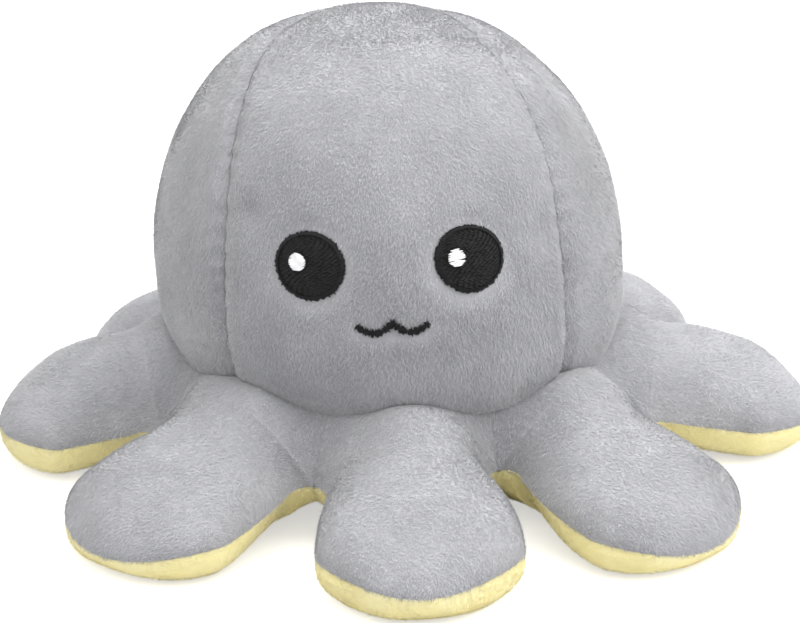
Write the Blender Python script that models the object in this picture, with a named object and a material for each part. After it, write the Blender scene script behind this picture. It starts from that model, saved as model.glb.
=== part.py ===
"""Plush octopus: a stuffed ball head with a stitched face, on a ring of eight paddle-shaped tentacles.

The toy is two octopus skins sewn together and stuffed between. The grey skin is outside. The yellow
one is the underside of the tentacles and, inside the head, a pocket that opens below, so that the toy
can be turned inside out. Metres, +Z up, the face towards -Y, the toy standing on z = 0 with the middle
of its tentacle ring at the origin. Left and right are the viewer's.
"""

import math

import bmesh
import bpy
from mathutils import Matrix, Vector

# Cloth and stuffing
CLOTH = 0.0015  # short-pile plush cloth, pressed by the stuffing
SEAM_GAP = 0.0003  # between the raw edges of two panels at a seam
STUFFING_GAP = 0.0003  # between the cloth and the fibre behind it
JOINT_CLEARANCE = 0.0005  # round a tentacle's root, which turns in the stuffing

# Tentacles, with radii from the middle of the ring
TIP_RADIUS = 0.100
NOSE_LENGTH = 0.0170  # of a tentacle's round end, past its widest place
HINGE_RADIUS = 0.050
KNUCKLE_RADIUS = 0.0155  # half the height of a tentacle's rounded root
WIDEST_SPACE = 0.0160  # between two neighbours, where they are widest
ROOT_SPACE = 0.0014  # between the roots of two neighbours
SEAM_HEIGHT = 0.0095  # of the grey and yellow seam above the ground, along the sides
TIP_HEIGHT = 0.0042  # of the same seam at the tip
GROUND_CUT = 0.0005  # how deep the belly is pressed flat by the ground
LIFT_DEGREES = 18.0  # how far a tentacle lifts before it presses on the head

# Head
HEAD_RADIUS = 0.0567
HEAD_RISE = 0.0645  # from the widest level to the crown
HEAD_DROP = 0.0400  # the lower half's own height, most of it hidden by the tentacles
EQUATOR_HEIGHT = 0.0450  # of the widest level above the ground
HEAD_OFFSET = -0.0024  # the head sits a little left of the ring's middle
HEAD_LEAN = -0.0023  # of the crown to the right, from over the middle of the widest level
PUFF_DEPTH = 0.0012  # how deep a seam lies between two puffed panels
PUFF_WIDTH = 0.0070  # how far from a seam the puffing starts
CROWN_END = 0.0006  # how far short of the crown's middle each panel's point ends

# Pocket inside the head
POCKET_RADIUS = 0.024
POCKET_DEPTH = 0.070

# Face, stitched on the front panel
EYE_RADIUS = 0.0081
EYE_SPREAD = 0.0189  # from the face's middle to the middle of an eye
EYE_HEIGHT = 0.0231  # above the head's widest level
EYE_SLOPE = 0.0006  # the right eye is this much higher than that, the left eye lower
HIGHLIGHT_RADIUS = 0.0020
HIGHLIGHT_OUT = 0.0030  # from the middle of the eye to its left
HIGHLIGHT_UP = 0.0008
MOUTH_HALF_WIDTH = 0.0085
MOUTH_HEIGHT = 0.0069  # of the lowest points above the head's widest level
MOUTH_END_RISE = 0.0026
MOUTH_PEAK_RISE = 0.0044
MOUTH_OFFSET = 0.0004  # from the face's middle
FACE_OFFSET = 0.0009  # of the face's middle from the head's
LINING_FACE_HEIGHT = 0.0115  # of the pocket's own face above the pocket's mouth
STROKE_HALF_WIDTH = 0.00085
THREAD_HEIGHT = 0.0008  # of the satin stitch
HIGHLIGHT_THREAD_HEIGHT = 0.0004  # of the white stitch, which is sewn over the black
THREAD_GAP = 0.0003  # between the stitches and what they lie on
POCKET_FACET = 0.0005  # how far the pocket's flat facets stand inside its round

# Angles, powers and shares
PANEL_COUNT = 4
FACE_TURN = math.radians(2.5)  # the front panel faces a little to the right
CROWN_TILT = math.radians(27.0)  # the panels' upper ends meet this far behind the top
TILT_POWER = 1.5  # over 1, that lean is felt mostly near the crown
ELLIPSE_POWER = 2.0
HEAD_POWER = 2.32  # over 2, the upper half is fuller than an ellipse
POCKET_POWER = 2.6
PEAK_SHARE = 1.5  # how much wider the stroke is set across the point between the mouth's bowls
BOWL_POWER = 0.8  # under 1, the mouth's bowls have flat bottoms
DOME_SHARE = 0.45  # how much of a stitched patch's height is gone at its rim
DOME_POWER = 4.0
BELLY_POWER = 3.5
PADDLE_POWER = 1.6  # of the swelling from root to paddle
CROWN_POWERS = (2.6, 0.714)  # of the tentacle's falling top line
NOSE_POWERS = (3.5, 0.286)  # of the belly's curl-up at the tip
PANEL_SHARES = (0.0, 0.09, 0.25, 0.42, 0.58, 0.75, 0.91, 1.0)  # across one panel
RISE_DEGREES = (82.0, 68.0, 52.0, 36.0, 20.0, 4.0, -7.0)  # up a panel
LINING_SHARES = (0.0, 0.22, 0.45, 0.68, 0.88)  # up a lining panel
KNUCKLE_DEGREES = (50.0, 24.0, 0.0)
LENGTH_SHARES = (0.22, 0.46, 0.68, 0.86, 0.965, 1.0)  # along a tentacle from its hinge
DISC_SHARES = (0.0, 0.55, 1.0)  # from the middle of a stitched patch to its rim
TOP_STEPS = 6
UNDER_STEPS = 4
RING_STEPS = 24
ROOT_STEPS = 12
EYE_STEPS = 20
HIGHLIGHT_STEPS = 12
MOUTH_STEPS = 16
SHARP_ANGLE = math.radians(50.0)  # faces that meet at more than this show an edge
WELD_SHARE = 0.01  # of the seam gap, within which two vertices are one
TENTACLES = {  # compass place, with how far each is turned from its even place, in degrees
    "front": 0.0,
    "front_right": -3.0,
    "right": 1.9,
    "back_right": 0.5,
    "back": 1.0,
    "back_left": 1.6,
    "left": -2.2,
    "front_left": 0.5,
}
RING_TURN = math.radians(3.5)  # of the whole ring, so the front tip lies a little to the right

# Worked out from the sizes above
CORE_GAP = CLOTH + STUFFING_GAP
HINGE_HEIGHT = KNUCKLE_RADIUS
TENTACLE_LENGTH = TIP_RADIUS - HINGE_RADIUS
WIDEST_RADIUS = TIP_RADIUS - NOSE_LENGTH
WIDEST_PLACE = WIDEST_RADIUS - HINGE_RADIUS
LIFT = math.radians(LIFT_DEGREES)
STEP = 2 * math.pi / len(TENTACLES)
TURNS = list(TENTACLES.values())
CLOSEST = math.radians(max(a - b for a, b in zip(TURNS, TURNS[1:] + TURNS[:1])))
WEDGE = STEP / 2 - CLOSEST / 2
ROOT_HALF_WIDTH = math.sqrt(HINGE_RADIUS**2 - KNUCKLE_RADIUS**2) * math.tan(WEDGE) - ROOT_SPACE / 2
WIDEST_HALF_WIDTH = WIDEST_RADIUS * math.tan(WEDGE) - WIDEST_SPACE / 2
NECK_HEIGHT = (
    HINGE_HEIGHT
    + KNUCKLE_RADIUS / math.cos(LIFT)
    + (HEAD_RADIUS - HINGE_RADIUS) * math.tan(LIFT)
    + JOINT_CLEARANCE
)
RING_RADIUS = (
    HINGE_RADIUS
    - math.sqrt(KNUCKLE_RADIUS**2 - (KNUCKLE_RADIUS - CLOTH) ** 2)
    - JOINT_CLEARANCE
)
SHOULDER_RADIUS = HINGE_RADIUS - KNUCKLE_RADIUS * math.sin(LIFT) - JOINT_CLEARANCE
SHOULDER_HEIGHT = HINGE_HEIGHT + KNUCKLE_RADIUS * math.cos(LIFT) + JOINT_CLEARANCE
HEAD_CENTRE = Vector((HEAD_OFFSET, 0.0, EQUATOR_HEIGHT))


def clear_scene():
    for obj in list(bpy.data.objects):
        bpy.data.objects.remove(obj, do_unlink=True)


def material(name, colour, roughness):
    made = bpy.data.materials.new(name)
    made.use_nodes = True
    shader = made.node_tree.nodes["Principled BSDF"]
    shader.inputs["Base Color"].default_value = (*colour, 1.0)
    shader.inputs["Roughness"].default_value = roughness
    shader.inputs["Metallic"].default_value = 0.0
    return made


def add_object(name, mesh, look, parent=None):
    obj = bpy.data.objects.new(name, mesh)
    bpy.context.collection.objects.link(obj)
    obj.parent = parent
    if not mesh.materials:
        mesh.materials.append(look)
    return obj


def finish_mesh(name, bm):
    """Closes the poles, turns the faces outwards and shades the round surfaces smooth."""
    bmesh.ops.remove_doubles(bm, verts=bm.verts, dist=SEAM_GAP * WELD_SHARE)
    bmesh.ops.recalc_face_normals(bm, faces=bm.faces)
    mesh = bpy.data.meshes.new(name)
    bm.to_mesh(mesh)
    bm.free()
    mesh.shade_smooth()
    mesh.set_sharp_from_angle(angle=SHARP_ANGLE)
    return mesh


def add_grid(bm, rows, closed):
    """Triangles between rows of vertices. In a closed grid each row is a ring.

    Each cell is cut along the same diagonal, so that a surface and one inset from it keep their distance.
    """
    last = len(rows[0]) if closed else len(rows[0]) - 1
    for upper, lower in zip(rows, rows[1:]):
        for i in range(last):
            j = (i + 1) % len(upper)
            bm.faces.new((upper[i], upper[j], lower[j]))
            bm.faces.new((upper[i], lower[j], lower[i]))


def shell_mesh(name, point, rows, columns, closed=False):
    """A sheet with a thickness. point(row, column, side) is on its outer side at 0, its inner side at 1."""
    bm = bmesh.new()
    outer = [[bm.verts.new(point(r, c, 0)) for c in columns] for r in rows]
    inner = [[bm.verts.new(point(r, c, 1)) for c in columns] for r in rows]
    add_grid(bm, outer, closed)
    add_grid(bm, inner, closed)
    add_grid(bm, [outer[0], inner[0]], closed)
    add_grid(bm, [outer[-1], inner[-1]], closed)
    if not closed:
        add_grid(bm, [[row[0] for row in outer], [row[0] for row in inner]], closed)
        add_grid(bm, [[row[-1] for row in outer], [row[-1] for row in inner]], closed)
    return finish_mesh(name, bm)


def body_mesh(name, rings):
    """A closed body through rings of points. The first and the last ring are each one point, repeated."""
    bm = bmesh.new()
    add_grid(bm, [[bm.verts.new(p) for p in ring] for ring in rings], True)
    return finish_mesh(name, bm)


def on_oval(direction, centre, radius, rise, drop, power, inset):
    """The point of a round-topped oval in this direction, moved inwards by inset along its normal."""
    up = direction.z >= 0
    height, power = (rise, power) if up else (drop, ELLIPSE_POWER)
    flat = math.hypot(direction.x, direction.y)
    reach = ((flat / radius) ** power + (abs(direction.z) / height) ** power) ** (-1 / power)
    out = (flat * reach / radius) ** (power - 1) / radius
    tall = (abs(direction.z) * reach / height) ** (power - 1) / height
    if flat > 0:
        normal = Vector((direction.x * out / flat, direction.y * out / flat, tall if up else -tall))
    else:
        normal = Vector((0.0, 0.0, 1.0))
    return centre + direction * reach - normal.normalized() * inset


def on_head(direction, inset):
    """A point of the head, which leans to one side with its height."""
    point = on_oval(direction, HEAD_CENTRE, HEAD_RADIUS, HEAD_RISE, HEAD_DROP, HEAD_POWER, inset)
    point.x += HEAD_LEAN * (point.z - EQUATOR_HEIGHT) / HEAD_RISE
    return point


def in_pocket(direction, inset):
    middle = Vector((0.0, 0.0, 0.0))
    return on_oval(direction, middle, POCKET_RADIUS, POCKET_DEPTH, POCKET_DEPTH, POCKET_POWER, inset)


def heading(turn, rise):
    """The direction at an angle round from straight ahead, positive to the right, and a height angle."""
    return Vector((math.cos(rise) * math.sin(turn), -math.cos(rise) * math.cos(turn), math.sin(rise)))


def panel_direction(turn, rise):
    """A panel's own direction: the higher it is, the more it leans back, so the crown lies behind the top."""
    lean = CROWN_TILT * max(0.0, math.sin(rise)) ** TILT_POWER
    return Matrix.Rotation(-lean, 3, "X") @ heading(turn, rise)


def neck_rise():
    """The height angle of the panels' lower edge."""
    below = EQUATOR_HEIGHT - NECK_HEIGHT
    out = HEAD_RADIUS * math.sqrt(1 - (below / HEAD_DROP) ** 2)
    return -math.atan2(below, out)


def rises():
    return [math.radians(r) for r in RISE_DEGREES] + [neck_rise()]


def puffed_point(turn, rise, inset, seam_distance):
    """A point of the head's skin or of the stuffing behind it. A panel draws in towards its seams."""
    near = max(0.0, 1 - seam_distance / PUFF_WIDTH)
    return on_head(panel_direction(turn, rise), inset + PUFF_DEPTH * near**2)


def panel_point(start, share, rise, inset, gap):
    """The point at this share of a panel's width. gap is what its two edges leave free of the seams."""
    spread = HEAD_RADIUS * math.cos(rise)
    width = 2 * math.pi / PANEL_COUNT
    edge = min(width / 2, gap / 2 / spread)
    turn = start + edge + share * (width - 2 * edge)
    distance = spread * (width - 2 * edge) * min(share, 1 - share)
    return puffed_point(turn, rise, inset, distance)


def panel_starts():
    """Names and starting turns of the four panels, from the front one round to the left one."""
    width = 2 * math.pi / PANEL_COUNT
    for index, side in enumerate(("front", "right", "back", "left")):
        yield side, FACE_TURN + width * (index - 0.5)


def build_head_panels(look):
    for side, start in panel_starts():
        def point(rise, share, depth, start=start):
            return panel_point(start, share, rise, CLOTH * depth, SEAM_GAP)

        crown = math.pi / 2 - CROWN_END / HEAD_RISE
        mesh = shell_mesh("head_panel_" + side, point, [crown] + rises(), PANEL_SHARES)
        add_object("head_panel_" + side, mesh, look)


def build_lining_panels(look):
    """The inner octopus's head, inside out: its plush side faces the pocket."""
    width = 2 * math.pi / PANEL_COUNT
    lowest = math.atan2(CLOTH + SEAM_GAP, POCKET_RADIUS)
    highest = math.pi / 2 - CROWN_END / POCKET_DEPTH

    for side, start in panel_starts():
        def point(share, across, depth, start=start):
            rise = lowest + share * (highest - lowest)
            edge = min(width / 2, SEAM_GAP / 2 / (POCKET_RADIUS * math.cos(rise)))
            turn = start + edge + across * (width - 2 * edge)
            return in_pocket(heading(turn, rise), -CLOTH * depth)

        rows = LINING_SHARES + (1.0,)
        mesh = shell_mesh("lining_panel_" + side, point, rows, PANEL_SHARES)
        add_object("lining_panel_" + side, mesh, look)


def build_underside_ring(look):
    """The flat yellow cloth round the pocket's mouth, which the toy rests on."""
    turns = [2 * math.pi * i / RING_STEPS for i in range(RING_STEPS)]

    def point(radius, turn, depth):
        return Vector((radius * math.cos(turn), radius * math.sin(turn), CLOTH * depth))

    mesh = shell_mesh("underside_ring", point, (POCKET_RADIUS, RING_RADIUS), turns, closed=True)
    add_object("underside_ring", mesh, look)


def panel_turns():
    """The turns that the columns of all four panels stand at, once round."""
    width = 2 * math.pi / PANEL_COUNT
    return [start + share * width for _, start in panel_starts() for share in PANEL_SHARES[:-1]]


def skirt_rows(inset):
    """Rings under the head, from the neck seam in and down between the tentacles' roots."""
    yield lambda turn: on_head(heading(turn, neck_rise()), inset) - Vector((0.0, 0.0, SEAM_GAP))
    for radius, height in (
        (SHOULDER_RADIUS - inset, SHOULDER_HEIGHT + inset),
        (RING_RADIUS - inset, CORE_GAP),
    ):
        yield lambda turn, r=radius, z=height: heading(turn, 0.0) * r + Vector((0.0, 0.0, z))


def build_skirt_top(look):
    """The grey cloth that joins the head to the tentacles and closes the gaps between their roots."""
    sides = [list(skirt_rows(0.0)), list(skirt_rows(CLOTH))]

    def point(row, turn, side):
        return sides[side][row](turn)

    mesh = shell_mesh("skirt_top", point, range(len(sides[0])), panel_turns(), closed=True)
    return add_object("skirt_top", mesh, look)


def stuffing_rings():
    """Rings of the head's stuffing: down the ball, in to the tentacles' roots, under, and up the pocket."""
    places = [(start, share) for _, start in panel_starts() for share in PANEL_SHARES[:-1]]
    turns = panel_turns()
    yield [puffed_point(0.0, math.pi / 2, CORE_GAP, 0.0) for _ in turns]
    for rise in rises():
        yield [panel_point(start, share, rise, CORE_GAP, 0.0) for start, share in places]
    for row in list(skirt_rows(CORE_GAP))[1:]:
        yield [row(turn) for turn in turns]
    mouth = POCKET_RADIUS + CORE_GAP
    yield [heading(turn, 0.0) * mouth + Vector((0.0, 0.0, CORE_GAP)) for turn in turns]
    for share in LINING_SHARES[1:] + (1.0,):
        yield [in_pocket(heading(turn, share * math.pi / 2), -CORE_GAP) for turn in turns]


def tentacle_azimuth(index, place):
    """From +X, counter-clockwise seen from above. The first tentacle is the front one, at -Y."""
    return index * STEP - math.pi / 2 + RING_TURN + math.radians(TENTACLES[place])


def knuckle_mesh(extra):
    """A tentacle's rounded root about its hinge line, swollen by at least extra, also at its flats."""
    bm = bmesh.new()
    bmesh.ops.create_uvsphere(bm, u_segments=ROOT_STEPS, v_segments=ROOT_STEPS // 2, radius=1.0)
    size = Matrix.Diagonal((KNUCKLE_RADIUS + extra, KNUCKLE_RADIUS + extra, ROOT_HALF_WIDTH + extra))
    size *= 1 / math.cos(math.pi / ROOT_STEPS)
    bm.transform((Matrix.Rotation(math.pi / 2, 3, "X") @ size).to_4x4())
    return finish_mesh("root_cutter", bm)


def build_stuffing(look):
    return add_object("head_stuffing", body_mesh("head_stuffing", list(stuffing_rings())), look)


def cut_sockets(pieces, hinges, look):
    """Hollows a round socket for each tentacle's root out of the pieces under the head."""
    cutter = knuckle_mesh(JOINT_CLEARANCE)
    for place, hinge in hinges.items():
        tool = add_object("root_cutter_" + place, cutter, look, parent=hinge)
        tool.hide_render = True
        tool.display_type = "WIRE"
        for piece in pieces:
            cut = piece.modifiers.new("Socket of the " + place + " tentacle", "BOOLEAN")
            cut.operation = "DIFFERENCE"
            cut.object = tool


def section(x, inset):
    """Half-width, seam height, height over the seam, depth under it and belly power at x from the hinge."""
    ball = KNUCKLE_RADIUS - inset
    length = TENTACLE_LENGTH - inset
    widest = WIDEST_HALF_WIDTH - inset
    root = ROOT_HALF_WIDTH - inset
    side_seam = SEAM_HEIGHT - HINGE_HEIGHT
    if x <= 0:
        round_share = math.sqrt(max(0.0, 1 - (x / ball) ** 2))
        return root * round_share, 0.0, ball * round_share, ball * round_share, ELLIPSE_POWER
    crown = ball * max(0.0, 1 - (x / length) ** CROWN_POWERS[0]) ** CROWN_POWERS[1]
    if x <= WIDEST_PLACE:
        near = x / WIDEST_PLACE
        half = widest - (widest - root) * (1 - near) ** PADDLE_POWER
        seam = side_seam * near
        power = ELLIPSE_POWER + (BELLY_POWER - ELLIPSE_POWER) * near
        belly = seam + ball + GROUND_CUT * near
        return half, seam, crown, belly, power
    past = min(1.0, (x - WIDEST_PLACE) / (length - WIDEST_PLACE))
    round_share = math.sqrt(1 - past**2)
    seam = side_seam - (SEAM_HEIGHT - TIP_HEIGHT) * (1 - round_share)
    belly = (seam + ball + GROUND_CUT) * (1 - past ** NOSE_POWERS[0]) ** NOSE_POWERS[1]
    return widest * round_share, seam, crown, belly, BELLY_POWER


def tentacle_point(place, angle, inset, part=0.0):
    """A point of a tentacle's skin, or of a surface inset inside it, measured from its hinge.

    place is (root angle, 0) behind the hinge and (0, length share) past it. angle runs round the section
    from one side seam over the top to the other, and on underneath. part moves an edge off the seam,
    upwards on the top cloth and downwards on the underside.
    """
    back, share = place
    x = -(KNUCKLE_RADIUS - inset) * math.sin(back) + (TENTACLE_LENGTH - inset) * share
    half, seam, crown, belly, power = section(x, inset)
    across, up = math.cos(angle), math.sin(angle)
    if part >= 0 and angle <= math.pi:
        return Vector((x, half * across, seam + part + crown * up))
    squash = (abs(across) ** power + abs(up) ** power) ** (-1 / power)
    low = seam + part + belly * up * squash
    return Vector((x, half * across * squash, max(low, inset - HINGE_HEIGHT)))


def tentacle_places():
    back = [(math.radians(d), 0.0) for d in KNUCKLE_DEGREES]
    return back + [(0.0, share) for share in LENGTH_SHARES]


def tentacle_meshes():
    """The grey top, the yellow underside and the stuffing, shared by all the tentacles."""
    def top_skin(place, angle, depth):
        return tentacle_point(place, angle, CLOTH * depth, SEAM_GAP / 2)

    def under_skin(place, angle, depth):
        return tentacle_point(place, angle, CLOTH * depth, -SEAM_GAP / 2)

    over = [math.pi * i / TOP_STEPS for i in range(TOP_STEPS + 1)]
    under = [math.pi * (1 + i / UNDER_STEPS) for i in range(UNDER_STEPS + 1)]
    places = [(math.pi / 2, 0.0)] + tentacle_places()
    rings = [[tentacle_point(place, a, CORE_GAP) for a in over + under[1:-1]] for place in places]
    return {
        "top": shell_mesh("tentacle_top", top_skin, tentacle_places(), over),
        "underside": shell_mesh("tentacle_underside", under_skin, tentacle_places(), under),
        "stuffing": body_mesh("tentacle_stuffing", rings),
    }


def add_hinges():
    """One empty on each tentacle's hinge line, with its x pointing outwards along the tentacle."""
    hinges = {}
    for index, place in enumerate(TENTACLES):
        azimuth = tentacle_azimuth(index, place)
        hinge = bpy.data.objects.new("hinge_" + place, None)
        bpy.context.collection.objects.link(hinge)
        hinge.location = (
            HINGE_RADIUS * math.cos(azimuth),
            HINGE_RADIUS * math.sin(azimuth),
            HINGE_HEIGHT,
        )
        hinge.rotation_euler.z = azimuth
        hinges[place] = hinge
    return hinges


def build_tentacles(hinges, looks):
    meshes = tentacle_meshes()
    for place, hinge in hinges.items():
        for layer, mesh in meshes.items():
            add_object("tentacle_" + place + "_" + layer, mesh, looks[layer], parent=hinge)


def face_frame(surface, centre, turn, out, up):
    """A function that lays flat face coordinates on a surface, round the point at (out, up)."""
    def lay(x, y, lift):
        flat = Vector((out + x, 0.0, up + y))
        arc = math.hypot(*surface(heading(turn, 0.0), 0.0).xy - centre.xy)
        direction = heading(turn + flat.x / arc, 0.0) * arc + Vector((0.0, 0.0, flat.z))
        return surface(direction.normalized(), lift)

    return lay


def disc_mesh(name, lay, radius, steps, low, high):
    """A round patch of satin stitch, domed a little towards its middle, from low to high over the cloth."""
    turns = [2 * math.pi * i / steps for i in range(steps)]

    def point(share, turn, side):
        lift = low if side else low + (high - low) * (1 - DOME_SHARE * share**DOME_POWER)
        return lay(radius * share * math.cos(turn), radius * share * math.sin(turn), lift)

    return shell_mesh(name, point, DISC_SHARES, turns, closed=True)


def mouth_point(share):
    """The mouth's line: two bowls with a peak between them, from -1 at its left end to 1 at its right."""
    rise = MOUTH_PEAK_RISE if abs(share) < 0.5 else MOUTH_END_RISE
    drop = abs(math.sin(math.pi * share)) ** BOWL_POWER
    return Vector((MOUTH_HALF_WIDTH * share, rise * (1 - drop)))


def mouth_mesh(name, lay, low, high):
    line = [mouth_point(2 * i / MOUTH_STEPS - 1) for i in range(MOUTH_STEPS + 1)]

    def point(index, side_share, side):
        before, after = line[max(0, index - 1)], line[min(MOUTH_STEPS, index + 1)]
        along = (after - before).normalized()
        sharp = PEAK_SHARE if 2 * index == MOUTH_STEPS else 1.0
        offset = Vector((-along.y, along.x)) * STROKE_HALF_WIDTH * side_share * sharp
        at = line[index] + offset
        return lay(at.x, at.y, low if side else high)

    return shell_mesh(name, point, range(MOUTH_STEPS + 1), (-1.0, 0.0, 1.0))


def build_face(prefix, surface, centre, turn, out_sign, base, looks):
    """Two eyes, each with a highlight, and a mouth, on the head or, where out_sign is 1, in the pocket."""
    def lifted(height):
        return height + POCKET_FACET if out_sign > 0 else -height

    eye_low = THREAD_GAP
    eye_high = eye_low + THREAD_HEIGHT
    spot_low = eye_high + THREAD_GAP
    spot_high = spot_low + HIGHLIGHT_THREAD_HEIGHT
    for side, sign in (("left", -1), ("right", 1)):
        height = base + EYE_HEIGHT + sign * EYE_SLOPE
        lay = face_frame(surface, centre, turn, sign * EYE_SPREAD, height)
        name = prefix + "eye_" + side
        mesh = disc_mesh(name, lay, EYE_RADIUS, EYE_STEPS, lifted(eye_low), lifted(eye_high))
        add_object(name, mesh, looks["black"])
        spot = face_frame(
            surface, centre, turn, sign * EYE_SPREAD - HIGHLIGHT_OUT, height + HIGHLIGHT_UP
        )
        mesh = disc_mesh(
            name, spot, HIGHLIGHT_RADIUS, HIGHLIGHT_STEPS, lifted(spot_low), lifted(spot_high)
        )
        add_object(name + "_highlight", mesh, looks["white"])
    lay = face_frame(surface, centre, turn, MOUTH_OFFSET, base + MOUTH_HEIGHT)
    mesh = mouth_mesh(prefix + "mouth", lay, lifted(eye_low), lifted(eye_high))
    add_object(prefix + "mouth", mesh, looks["black"])


def main():
    clear_scene()
    looks = {
        "grey": material("grey_plush", (0.47, 0.47, 0.49), 0.9),
        "yellow": material("yellow_plush", (0.78, 0.70, 0.38), 0.9),
        "fibre": material("stuffing", (0.86, 0.86, 0.84), 1.0),
        "black": material("black_thread", (0.02, 0.02, 0.022), 0.55),
        "white": material("white_thread", (0.85, 0.85, 0.85), 0.5),
    }
    hinges = add_hinges()
    build_head_panels(looks["grey"])
    build_lining_panels(looks["yellow"])
    build_underside_ring(looks["yellow"])
    round_roots = [build_skirt_top(looks["grey"]), build_stuffing(looks["fibre"])]
    cut_sockets(round_roots, hinges, looks["fibre"])
    layers = {"top": looks["grey"], "underside": looks["yellow"], "stuffing": looks["fibre"]}
    build_tentacles(hinges, layers)
    build_face("", on_head, HEAD_CENTRE, math.asin(FACE_OFFSET / HEAD_RADIUS), -1, 0.0, looks)
    build_face("lining_", in_pocket, Vector((0.0, 0.0, 0.0)), 0.0, 1, LINING_FACE_HEIGHT, looks)


main()
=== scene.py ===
import math

import bmesh
import bpy
from mathutils import Matrix, Vector, noise


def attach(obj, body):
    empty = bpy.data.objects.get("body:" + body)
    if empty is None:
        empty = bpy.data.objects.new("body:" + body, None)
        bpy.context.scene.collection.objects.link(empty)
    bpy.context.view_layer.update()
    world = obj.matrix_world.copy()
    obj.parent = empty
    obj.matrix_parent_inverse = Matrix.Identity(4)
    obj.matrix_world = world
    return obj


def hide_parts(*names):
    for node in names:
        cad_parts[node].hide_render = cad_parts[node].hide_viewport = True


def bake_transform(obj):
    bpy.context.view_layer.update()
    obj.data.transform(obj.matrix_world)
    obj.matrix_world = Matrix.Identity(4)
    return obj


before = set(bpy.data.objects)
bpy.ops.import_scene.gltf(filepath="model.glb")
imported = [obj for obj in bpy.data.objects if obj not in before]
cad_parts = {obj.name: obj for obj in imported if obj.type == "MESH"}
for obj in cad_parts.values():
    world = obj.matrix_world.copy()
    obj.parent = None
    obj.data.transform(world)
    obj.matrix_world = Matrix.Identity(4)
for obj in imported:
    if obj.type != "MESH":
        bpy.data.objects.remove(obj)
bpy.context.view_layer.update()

# Camera
# The toy is seen from in front and above with a long lens, so that it fills the picture.
# The camera looks down at the toy's foot and is then turned up a little. All sizes here are in metres.
CAMERA_DISTANCE = 0.75
CAMERA_PITCH = math.radians(24.0)
CAMERA_AIM = math.radians(2.51)
camera = bpy.data.objects.new("camera", bpy.data.cameras.new("camera"))
camera.data.sensor_width = 36.0
camera.data.lens = 136.0
camera.location = (0.0, -CAMERA_DISTANCE * math.cos(CAMERA_PITCH), CAMERA_DISTANCE * math.sin(CAMERA_PITCH))
camera.rotation_euler = (math.pi / 2 - CAMERA_PITCH + CAMERA_AIM, 0.0, 0.0)
bpy.context.scene.collection.objects.link(camera)
bpy.context.scene.camera = camera
bpy.context.scene.view_settings.view_transform = "Standard"


# Floor and light
# White paper under a large soft lamp overhead, a second at the right and weaker ones at the left and in
# front. The room adds an even light from all round, and what the camera sees of the room is plain white.
ROOM_LIGHT = 0.36
PAPER_GLOW = 0.55


def add_node(tree, kind, values=None, **settings):
    """One node of a material, with its sockets' values by name or number."""
    node = tree.nodes.new("ShaderNode" + kind)
    for key, value in settings.items():
        setattr(node, key, value)
    for socket, value in (values or {}).items():
        node.inputs[socket].default_value = value
    return node


def seen_by_eye(tree):
    """1 for what the camera sees, mirrored or through glass too, and 0 for light that falls on things."""
    path = add_node(tree, "LightPath")
    glossy = add_node(tree, "Math", operation="MAXIMUM")
    clear = add_node(tree, "Math", operation="MAXIMUM")
    tree.links.new(path.outputs["Is Camera Ray"], glossy.inputs[0])
    tree.links.new(path.outputs["Is Glossy Ray"], glossy.inputs[1])
    tree.links.new(glossy.outputs[0], clear.inputs[0])
    tree.links.new(path.outputs["Is Transmission Ray"], clear.inputs[1])
    return clear.outputs[0]


room = bpy.data.worlds.new("studio_room")
room.use_nodes = True
bpy.context.scene.world = room
room_light = room.node_tree.nodes["Background"]
room_light.inputs["Color"].default_value = (1.0, 1.0, 1.0, 1.0)
room_light.inputs["Strength"].default_value = ROOM_LIGHT
room_white = add_node(room.node_tree, "Background", {"Strength": 1.0, "Color": (1.0, 1.0, 1.0, 1.0)})
room_mix = add_node(room.node_tree, "MixShader")
room.node_tree.links.new(seen_by_eye(room.node_tree), room_mix.inputs[0])
room.node_tree.links.new(room_light.outputs[0], room_mix.inputs[1])
room.node_tree.links.new(room_white.outputs[0], room_mix.inputs[2])
room.node_tree.links.new(room_mix.outputs[0], room.node_tree.nodes["World Output"].inputs["Surface"])

paper = bpy.data.materials.new("white_paper")
paper.use_nodes = True
paper_shader = paper.node_tree.nodes["Principled BSDF"]
paper_shader.inputs["Base Color"].default_value = (0.86, 0.86, 0.86, 1.0)
paper_shader.inputs["Roughness"].default_value = 0.9
paper_glow = add_node(paper.node_tree, "Emission", {"Color": (1.0, 1.0, 1.0, 1.0)})
paper_share = add_node(paper.node_tree, "Math", {1: PAPER_GLOW}, operation="MULTIPLY")
paper_sum = add_node(paper.node_tree, "AddShader")
paper.node_tree.links.new(seen_by_eye(paper.node_tree), paper_share.inputs[0])
paper.node_tree.links.new(paper_share.outputs[0], paper_glow.inputs["Strength"])
paper.node_tree.links.new(paper_shader.outputs[0], paper_sum.inputs[0])
paper.node_tree.links.new(paper_glow.outputs[0], paper_sum.inputs[1])
paper.node_tree.links.new(paper_sum.outputs[0], paper.node_tree.nodes["Material Output"].inputs["Surface"])

floor_mesh = bmesh.new()
bmesh.ops.create_grid(floor_mesh, x_segments=1, y_segments=1, size=4.0)
floor = bpy.data.objects.new("paper_floor", bpy.data.meshes.new("paper_floor"))
floor_mesh.to_mesh(floor.data)
floor_mesh.free()
floor.data.materials.append(paper)
bpy.context.scene.collection.objects.link(floor)

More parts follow.
